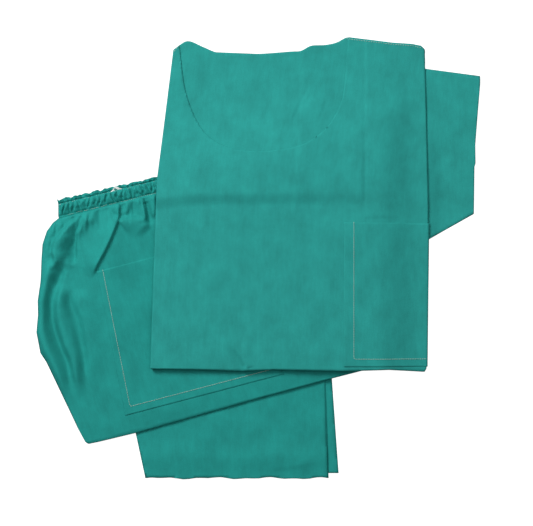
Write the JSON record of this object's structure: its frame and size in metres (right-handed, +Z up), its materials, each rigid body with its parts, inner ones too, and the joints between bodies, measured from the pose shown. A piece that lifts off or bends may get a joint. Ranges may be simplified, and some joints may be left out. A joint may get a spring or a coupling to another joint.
{
  "type": "folded patient suit",
  "caption": "Thin nonwoven short-sleeved pullover tunic, folded and lying on folded elastic-waist trousers, as it comes out of its packet.",
  "frame": {"origin": "centre of the folded suit's box, on the table", "axes": "+Z up from the table, +Y towards the tunic's shoulders, +X towards the sleeve end that sticks out"},
  "size_m": [0.5768, 0.5728, 0.02],
  "materials": {
    "tunic_cloth": "matte point-bonded nonwoven, teal green",
    "trouser_cloth": "matte point-bonded nonwoven, teal green",
    "thread": "matte spun thread, pale green white",
    "elastic": "matte white braided elastic"
  },
  "bodies": {
    "legs": {"right_lower_leg": "trouser_cloth", "left_lower_leg": "trouser_cloth", "left_leg_seam": "trouser_cloth", "right_thigh": "trouser_cloth", "left_thigh": "trouser_cloth"},
    "hips": {"trouser_back_panel": "trouser_cloth", "trouser_front_panel": "trouser_cloth", "waist_casing_back": "trouser_cloth", "waist_casing_front": "trouser_cloth", "waist_elastic_back": "elastic", "waist_elastic_front": "elastic", "casing_upper_stitches": "thread", "casing_lower_stitches": "thread", "trouser_pocket": "trouser_cloth", "trouser_pocket_stitches": "thread"},
    "tunic_lower": {"tunic_front_hem_half": "tunic_cloth", "tunic_back_hem_half": "tunic_cloth", "hem_left_flap": "tunic_cloth", "hem_right_flap": "tunic_cloth"},
    "tunic_upper": {"left_side_flap": "tunic_cloth", "left_sleeve": "tunic_cloth", "right_side_flap": "tunic_cloth", "right_sleeve": "tunic_cloth", "tunic_back_panel": "tunic_cloth", "tunic_front_panel": "tunic_cloth", "tunic_pocket": "tunic_cloth", "tunic_pocket_stitches": "thread", "left_shoulder_seam": "tunic_cloth", "right_shoulder_seam": "tunic_cloth"},
    "sleeve": {"left_sleeve_end": "tunic_cloth", "sleeve_end_seam": "tunic_cloth"}
  },
  "joints": [
    {"name": "trouser_fold", "type": "hinge", "parent": "legs", "child": "hips", "pos_m": [-0.18072, -0.22783, 0.00655], "axis": [0.9673, 0.2538, 0], "range_deg": [0, 60]},
    {"name": "tunic_lift", "type": "slide", "parent": "hips", "child": "tunic_lower", "axis": [0, 0, 1], "range_m": [0, 0.15]},
    {"name": "tunic_fold", "type": "hinge", "parent": "tunic_lower", "child": "tunic_upper", "pos_m": [0.00659, -0.14213, 0.0151], "axis": [1, 0, 0], "range_deg": [0, 110]},
    {"name": "sleeve_fold", "type": "hinge", "parent": "tunic_upper", "child": "sleeve", "pos_m": [0.21974, 0.23637, 0.01095], "axis": [0, -1, 0], "range_deg": [0, 180]}
  ]
}
